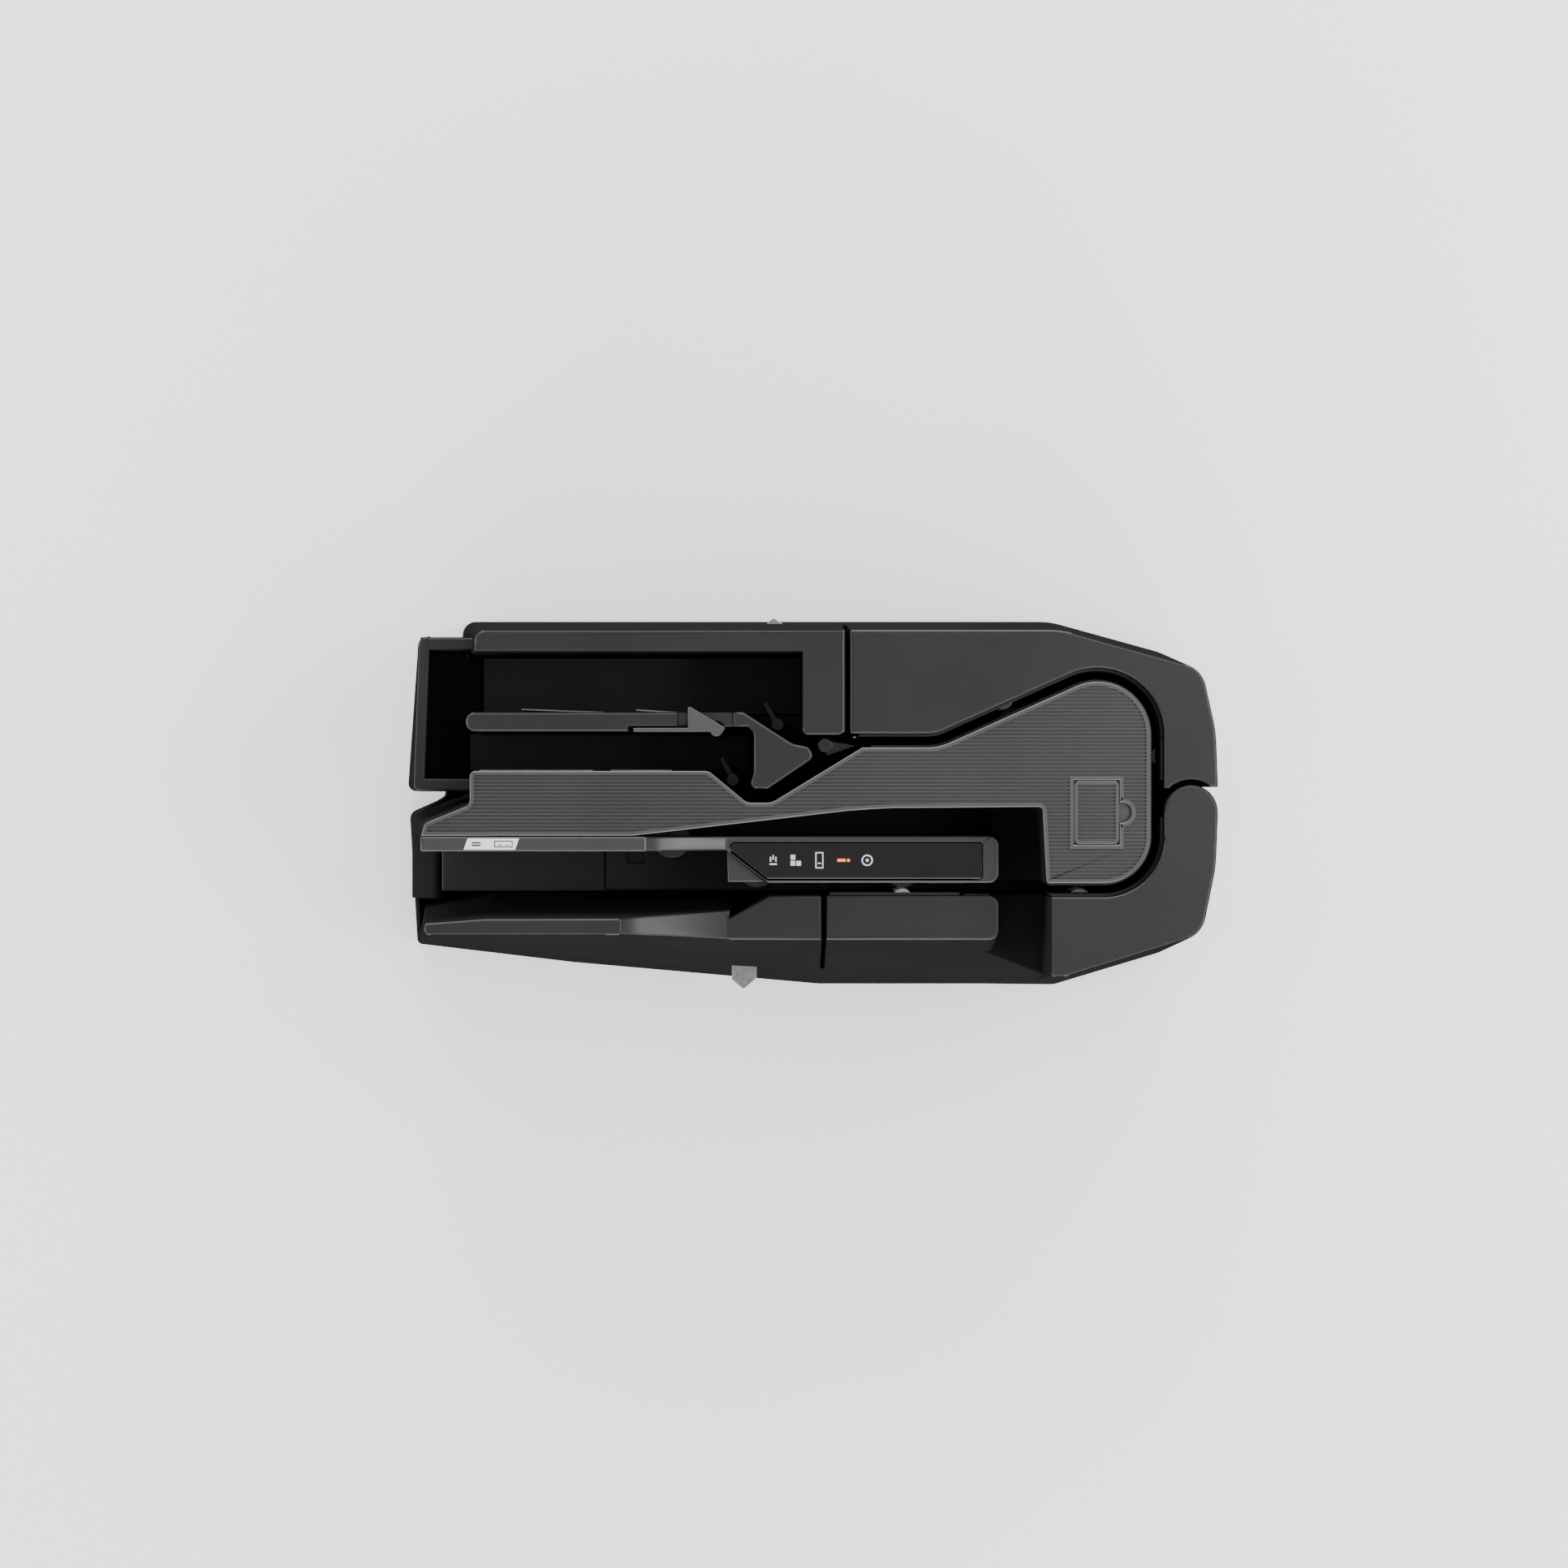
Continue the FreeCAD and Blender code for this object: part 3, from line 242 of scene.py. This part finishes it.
def moulding(node, material, width=0.0010, segments=3, casing=False):
    """A CAD piece with the rounded edges of a moulding: a casing's upper edges, or all of a small part's.

    A casing has satin on the faces that look up. Its walls and every face below its rim take a matt copy
    with no reflection, which is painted shade that keeps them dark.
    """
    piece, body = merged(node)
    if casing:
        crowned(body)
        for face in body.faces:
            # Walls and faces below the rim height take the painted-shade copy.
            face.material_index = int(face.normal.z < WALL_TILT or face.calc_center_median().z < PAINTED_SHADE_BELOW)
    finished(piece, body, node, material)
    if casing:
        piece.data.materials.append(case_wall_painted_shade)
    rounded(piece, width, segments, "WEIGHT" if casing else "ANGLE")
    return piece


moulding("base_tray", case_black, 0.0012, casing=True)


# --- rubber feet and casing screws -----------------------------------------------------------------
# Four moulded rubber feet are pressed into the tray. Zinc-plated screws hold the casings from below.

rubber, rubber_shader, rubber_at = start("foot_rubber", specular_ior_level=0.3)
rubber_grit = noise(rubber_at, 2600.0, 4.0)
wire(rubber_shader, base_color=rubber_grit.above(0.5, 0.6).mixed(grey(0.012), grey(0.028)),
     roughness=0.75 + (rubber_grit - 0.5) * 0.3, normal=bump(rubber_grit, 0.00003))

steel, steel_shader, steel_at = start("steel")
steel_turn = noise(steel_at, 3800.0, 3.0)
steel_stain = noise(steel_at, 60.0, 3.0)
wire(steel_shader, base_color=steel_stain.above(0.5, 0.5).mixed(grey(0.42), grey(0.58)),
     roughness=0.28 + steel_stain * 0.12 + steel_turn * 0.06, normal=bump(steel_turn, 0.000004))
steel_shader.inputs["Metallic"].default_value = 1.0
dress(steel, "case_screws", "hinge_pin", "pocket_leaf_guides", "left_pressure_springs",
      "right_pressure_springs", "magnetic_head", "usb_port", "network_port")
moulding("rubber_feet", rubber, 0.0005, 2)


# --- chassis deck and track guides -----------------------------------------------------------------
# The inner chassis, and the thin guide plates that line the paper slot: matt black glass-filled plastic.

inner_black = moulded("inner_black", 0.0121, 0.55, 0.0007, 0.00002)
dress(inner_black, "chassis_deck", "inner_track_guide", "left_cover_guide", "right_cover_guide",
      "cartridge_cradle")


# --- casings, divider, rear covers and pull-out ----------------------------------------------------
# The black ABS pieces round the island: the fixed outer walls and divider, the two covers that swing
# and the extension that slides. All have drafted sides and rounded upper edges.

for shell in ("pocket_casing", "hopper_casing", "hopper_front_lip", "pocket_divider", "left_rear_cover",
              "right_rear_cover", "pocket_extension"):
    moulding(shell, case_black, 0.0012, casing=True)


# --- ribbed island ---------------------------------------------------------------------------------
# The centre island is one dark grey moulding. Straight grooves run along its top from the rear end to
# the front nose and stop square, just inside a plain rim with a chamfered edge.

PITCH = 1.8 * MM
GROOVE_TOP = 0.72 * MM
GROOVE_FLOOR = 0.36 * MM
GROOVE_DEEP = 0.8 * MM
RIM = 1.5 * MM
NEAR_TOP = 0.05 * MM
PLACES = 6
ribbed_grey = moulded("ribbed_grey", 0.045, 0.40)


def cut_grooves(body, faces):
    """Cuts straight grooves along X in level faces, on four lines to each pitch.

    A point whose distance from the nearest groove's middle line is d is pushed down by the groove's
    depth times (half its top - d) / (half its top - half its floor), held between 0 and 1.
    """
    mark = body.faces.layers.int["grooved"]
    for face in faces:
        face[mark] = 1
    low = min(v.co.y for f in faces for v in f.verts)
    high = max(v.co.y for f in faces for v in f.verts)
    middles = np.arange(math.ceil(low / PITCH), math.floor(high / PITCH) + 1) * PITCH
    cuts = (middles[:, None] + np.array([-GROOVE_TOP, -GROOVE_FLOOR, GROOVE_FLOOR, GROOVE_TOP])).ravel()
    for y in cuts:
        part = [f for f in body.faces if f[mark]]
        edges = {e for f in part for e in f.edges}
        verts = {v for f in part for v in f.verts}
        bmesh.ops.bisect_plane(body, geom=part + list(edges) + list(verts), dist=1e-7,
                               plane_co=(0, y, 0), plane_no=(0, 1, 0))
    points = list({v for f in body.faces if f[mark] for v in f.verts})
    across = np.array([v.co.y for v in points])
    off = np.abs(across - np.round(across / PITCH) * PITCH)
    depth = GROOVE_DEEP * np.clip((GROOVE_TOP - off) / (GROOVE_TOP - GROOVE_FLOOR), 0, 1)
    for point, deep in zip(points, depth):
        point.co.z -= deep


def ribbed_moulding(node, chamfer, drop):
    """A ribbed copy of a CAD piece: its top is chamfered, left plain for a rim, and grooved within it.

    The grooved field is parted from its rim, and the rim's inner edge is drawn down as a wall, so a
    groove ends square.
    """
    piece, body = merged(node, "_ribbed")
    mark = body.faces.layers.int.new("grooved")
    body.normal_update()
    for face in body.faces:
        # Walls and faces below the rim height take the painted-shade copy.
        face.material_index = int(face.normal.z < WALL_TILT or face.calc_center_median().z < PAINTED_SHADE_BELOW)
    high = max(v.co.z for v in body.verts)
    top = [f for f in body.faces if f.normal.z > 0.999 and f.calc_center_median().z > high - NEAR_TOP]
    outline = {tuple(np.round(v.co, PLACES)) for f in top for v in f.verts}
    bmesh.ops.inset_region(body, faces=top, thickness=chamfer, use_even_offset=True, use_boundary=True)
    for point in body.verts:
        if tuple(np.round(point.co, PLACES)) in outline:
            point.co.z -= drop
    body.normal_update()
    level = [f for f in body.faces if all(v.co.z > high - NEAR_TOP for v in f.verts)]
    edge = {tuple(np.round(v.co, PLACES)) for f in level for v in f.verts}
    bmesh.ops.inset_region(body, faces=level, thickness=RIM, use_even_offset=True, use_boundary=True)
    inner = [f for f in body.faces if all(v.co.z > high - NEAR_TOP for v in f.verts)
             and not any(tuple(np.round(v.co, PLACES)) in edge for v in f.verts)]
    parted = bmesh.ops.split(body, geom=inner)["geom"]
    inner = [g for g in parted if isinstance(g, bmesh.types.BMFace)]
    lips = [e for e in body.edges if e.is_boundary and e.link_faces[0] not in set(inner)]
    walls = bmesh.ops.extrude_edge_only(body, edges=lips)["geom"]
    for point in walls:
        if isinstance(point, bmesh.types.BMVert):
            point.co.z -= GROOVE_DEEP
    inner = bmesh.ops.triangulate(body, faces=inner)["faces"]
    for face in body.faces:
        face[mark] = 0
    cut_grooves(body, inner)
    finished(piece, body, node, ribbed_grey)
    # The second slot is the painted-shade wall copy.
    piece.data.materials.append(case_wall_painted_shade)
    return piece


ribbed_moulding("island_cover", 0.5 * MM, 0.35 * MM)
ribbed_moulding("cartridge_lid", 0.2 * MM, 0.15 * MM)


# --- panel bar -------------------------------------------------------------------------------------
# The satin grey bar beside the hopper: a label ledge at the front that falls to the operating panel.

panel_grey = moulded("panel_grey", 0.032, 0.36, 0.0005, 0.000008)
moulding("panel_bar", panel_grey, 0.0009, casing=True)
moulding("hopper_floor", inner_black, 0.0004, 2)

gloss, gloss_shader, gloss_at = start("panel_gloss", coat_roughness=0.04, specular_ior_level=0.5)
smear = noise(gloss_at, 55.0, 4.0)
wire(gloss_shader, base_color=smear.above(0.5, 0.7).mixed(grey(0.0018), grey(0.003)),
     roughness=0.06 + smear.above(0.55, 0.3) * 0.08, coat_weight=0.5 + smear * 0.2)
moulding("panel_glass", gloss, 0.0003, 2)


# --- icons and the fault light ---------------------------------------------------------------------
# Status marks printed on the panel's glass, and one amber light behind it.

icon_white, icon_shader, icon_at = start("icon_white", roughness=0.5)
icon_grain = noise(icon_at, 5000.0, 2.0)
wire(icon_shader, base_color=icon_grain.above(0.5, 0.8).mixed(grey(0.62, COOL), grey(0.78, COOL)))
dress(icon_white, "status_icons")

amber, amber_shader, amber_at = start("icon_orange", roughness=0.4, emission_strength=1.4)
amber_glow = noise(amber_at, 1600.0, 1.0)
wire(amber_shader, base_color=amber_glow.above(0.5, 0.8).mixed((0.7, 0.12, 0.02, 1), (0.85, 0.2, 0.03, 1)),
     emission_color=amber_glow.above(0.5, 0.8).mixed((0.9, 0.16, 0.02, 1), (1.0, 0.3, 0.06, 1)))
dress(amber, "fault_icon")


# --- capacity label --------------------------------------------------------------------------------
# A white vinyl sticker on the ledge, printed with a plain outline of a stack of sheets.

label, label_shader, label_at = start("label_paper", roughness=0.45)
along = label_at.node("ShaderNodeSeparateXYZ", {}, {0: label_at})
across = Shade(along.tree, along.socket.node.outputs[1])
low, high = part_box("load_label_sticker")
middle_y = (low.y + high.y) / 2


def bar(value, middle, half, soft=0.00008):
    """1 where the value is within half of the middle, 0 elsewhere."""
    gap = value.math("ABSOLUTE", value - middle)
    return 1.0 - gap.above(half, soft)


page_x = high.x - 0.0075
page = bar(along, page_x, 0.0045) * bar(across, middle_y, 0.0017)
inside = bar(along, page_x, 0.0040) * bar(across, middle_y, 0.0012)
sheet_lines = bar(along, page_x - 0.0015, 0.0011) * bar(across, middle_y - 0.0005, 0.00022)
sheet_lines = sheet_lines + bar(along, page_x + 0.0017, 0.0009) * bar(across, middle_y - 0.0005, 0.00022)
stack = bar(along, low.x + 0.0060, 0.0022) * bar(across, middle_y + 0.0006, 0.00035)
stack = stack + bar(along, low.x + 0.0060, 0.0022) * bar(across, middle_y - 0.0006, 0.00035)
ink = page * (1.0 - inside) + sheet_lines + stack
wire(label_shader, base_color=ink.mixed(grey(0.72, (1, 0.995, 0.97)), grey(0.02)))
dress(label, "load_label_sticker")


# --- pocket floors ---------------------------------------------------------------------------------
# Matt black plates on the deck, over the pull-out tongue.

for plate in ("main_pocket_floor", "sub_pocket_floor"):
    moulding(plate, inner_black, 0.0004, 2)


# --- kickers, gate and stack guide arm -------------------------------------------------------------
# Small moulded levers on upright pivots, of satin black acetal.

acetal_black = moulded("acetal_black", 0.014, 0.3, 0.0006, 0.000006)
for lever in ("main_kicker", "sub_kicker", "diverter_gate"):
    moulding(lever, acetal_black, 0.0005, 2)
arm_grey = moulded("arm_grey", 0.05, 0.34, 0.0006, 0.000006)
moulding("stack_guide_arm", arm_grey, 0.0004, 2)


# --- rollers, idlers, belts and motors -------------------------------------------------------------
# Ground rubber tyres on steel shafts, acetal idlers and pulleys, two timing belts and two motors.

tyre, tyre_shader, tyre_at = start("grip_rubber", specular_ior_level=0.35)
tyre_split = tyre_at.node("ShaderNodeSeparateXYZ", {}, {0: tyre_at}, out=2)
tyre_line = tyre_split.node("ShaderNodeMath", {"operation": "PINGPONG"}, {0: tyre_split, 1: 0.0006})
tyre_grit = noise(tyre_at, 3000.0, 3.0)
wire(tyre_shader, base_color=tyre_grit.above(0.5, 0.6).mixed(grey(0.02), grey(0.04)),
     roughness=0.6 + (tyre_grit - 0.5) * 0.3, normal=bump(tyre_line * 1600.0 + tyre_grit * 0.3, 0.00008))
dress(tyre, "feed_roller_front", "feed_roller_middle", "feed_roller_rear", "exit_roller_slant",
      "pickup_roller", "separation_roller")

belt, belt_shader, belt_at = start("belt_rubber", specular_ior_level=0.3)
belt_weave = noise(belt_at, 1900.0, 2.0)
wire(belt_shader, base_color=belt_weave.above(0.5, 0.5).mixed(grey(0.012), grey(0.024)),
     roughness=0.7 + (belt_weave - 0.5) * 0.2, normal=bump(belt_weave, 0.00004))
dress(belt, "drive_belts")

acetal_white = moulded("acetal_white", 0.55, 0.34, 0.0009, 0.000005, (1.0, 0.99, 0.96))
dress(acetal_white, "feed_idler_front", "feed_idler_middle", "feed_idler_rear", "exit_idler_slant",
      "drive_motor_pulley", "feed_motor_pulley")

can, can_shader, can_at = start("motor_can")
can_scuff = noise(can_at, 240.0, 4.0)
wire(can_shader, base_color=can_scuff.above(0.55, 0.3).mixed(grey(0.11), grey(0.2)),
     roughness=0.36 + can_scuff * 0.2, normal=bump(can_scuff, 0.00001))
can_shader.inputs["Metallic"].default_value = 0.85
dress(can, "drive_motor", "feed_motor", "gate_solenoid")


# --- sensors, boards, connectors and small parts ---------------------------------------------------
# Glass-faced contact image sensors, solder-masked boards, the power socket and button of the rear
# wall, the ink cartridge, and the two smoked latch tabs.

glass, glass_shader, glass_at = start("sensor_glass", specular_ior_level=0.7)
glass_band = noise(glass_at, 130.0, 2.0)
wire(glass_shader, base_color=glass_band.above(0.5, 0.6).mixed(grey(0.012), grey(0.03, (0.9, 1.0, 1.15))),
     roughness=0.08 + glass_band * 0.08)
dress(glass, "front_image_sensor", "rear_image_sensor")

mask, mask_shader, mask_at = start("board_green", roughness=0.35)
grid = mask_at.node("ShaderNodeTexBrick", {"offset": 0.5},
                    {"Vector": mask_at, "Scale": 180.0, "Mortar Size": 0.06, "Color1": grey(0.0),
                     "Color2": grey(0.15), "Mortar": grey(1.0)})
mask_trace = noise(mask_at, 420.0, 1.0).above(0.55, 0.05)
wire(mask_shader, base_color=mask_trace.mixed((0.01, 0.085, 0.035, 1), (0.02, 0.15, 0.06, 1)),
     normal=bump(grid, 0.00003))
dress(mask, "circuit_boards")

port_black = moulded("port_black", 0.01, 0.38)
for part in ("power_inlet", "power_button", "ink_cartridge"):
    moulding(part, port_black, 0.0004, 2)

smoked, smoked_shader, smoked_at = start("tab_clear", specular_ior_level=0.6)
smoke = noise(smoked_at, 300.0, 3.0)
wire(smoked_shader, base_color=smoke.above(0.5, 0.5).mixed(grey(0.16, COOL), grey(0.22, COOL)),
     roughness=0.14 + smoke * 0.1)
moulding("left_latch", smoked, 0.0003, 2)
moulding("right_latch", smoked, 0.0003, 2)


# --- camera, floor and light -----------------------------------------------------------------------
# The view is from straight above the middle of the scanner, front end to the left. It stands on a
# plain pale floor that glows a little, among four softboxes: one on each side, behind and in front.

CAMERA_X, CAMERA_Y, CAMERA_HIGH = -0.0065, 0.0101, 2.072
eye = bpy.data.objects.new("eye", bpy.data.cameras.new("eye"))
scene.collection.objects.link(eye)
eye.location = (CAMERA_X, CAMERA_Y, CAMERA_HIGH)
eye.data.sensor_width = 36.0
eye.data.lens = 89.9
eye.data.clip_end = 50.0
scene.camera = eye

FLOOR_HALF = 6.0
FLOOR_GLOW = 0.35
SKY_STRENGTH = 0.45
floor_mesh = bpy.data.meshes.new("floor")
floor_mesh.from_pydata([(-FLOOR_HALF, -FLOOR_HALF, 0), (FLOOR_HALF, -FLOOR_HALF, 0),
                        (FLOOR_HALF, FLOOR_HALF, 0), (-FLOOR_HALF, FLOOR_HALF, 0)], [], [(0, 1, 2, 3)])
floor = bpy.data.objects.new("floor", floor_mesh)
scene.collection.objects.link(floor)
floor_paint = bpy.data.materials.new("floor_paint")
floor_paint.use_nodes = True
floor_inputs = floor_paint.node_tree.nodes["Principled BSDF"].inputs
floor_inputs["Base Color"].default_value = grey(0.9)
floor_inputs["Roughness"].default_value = 0.9
floor_inputs["Emission Color"].default_value = grey(1.0)
floor_inputs["Emission Strength"].default_value = FLOOR_GLOW
floor_mesh.materials.append(floor_paint)

sky = bpy.data.worlds.new("studio")
scene.world = sky
sky.use_nodes = True
sky.node_tree.nodes["Background"].inputs["Color"].default_value = (1, 1, 1, 1)
sky.node_tree.nodes["Background"].inputs["Strength"].default_value = SKY_STRENGTH


def softbox(name, place, aim, wide, deep, power):
    """A rectangular area light at a place, turned to face a point."""
    lamp = bpy.data.objects.new(name, bpy.data.lights.new(name, "AREA"))
    lamp.data.shape = "RECTANGLE"
    lamp.data.size = wide
    lamp.data.size_y = deep
    lamp.data.energy = power
    lamp.location = place
    away = lamp.location - type(lamp.location)(aim)
    lamp.rotation_euler = away.to_track_quat("Z", "Y").to_euler()
    scene.collection.objects.link(lamp)


softbox("left_box", (0.0, 1.9, 0.8), (0, 0, 0.1), 2.6, 1.2, 80)
softbox("right_box", (0.0, -1.9, 0.8), (0, 0, 0.1), 2.6, 1.2, 65)
softbox("rear_box", (1.15, 0.0, 1.3), (0.12, 0, 0.15), 1.6, 0.8, 32)
softbox("front_box", (-1.9, 0.0, 0.8), (0, 0, 0.1), 1.6, 1.0, 30)
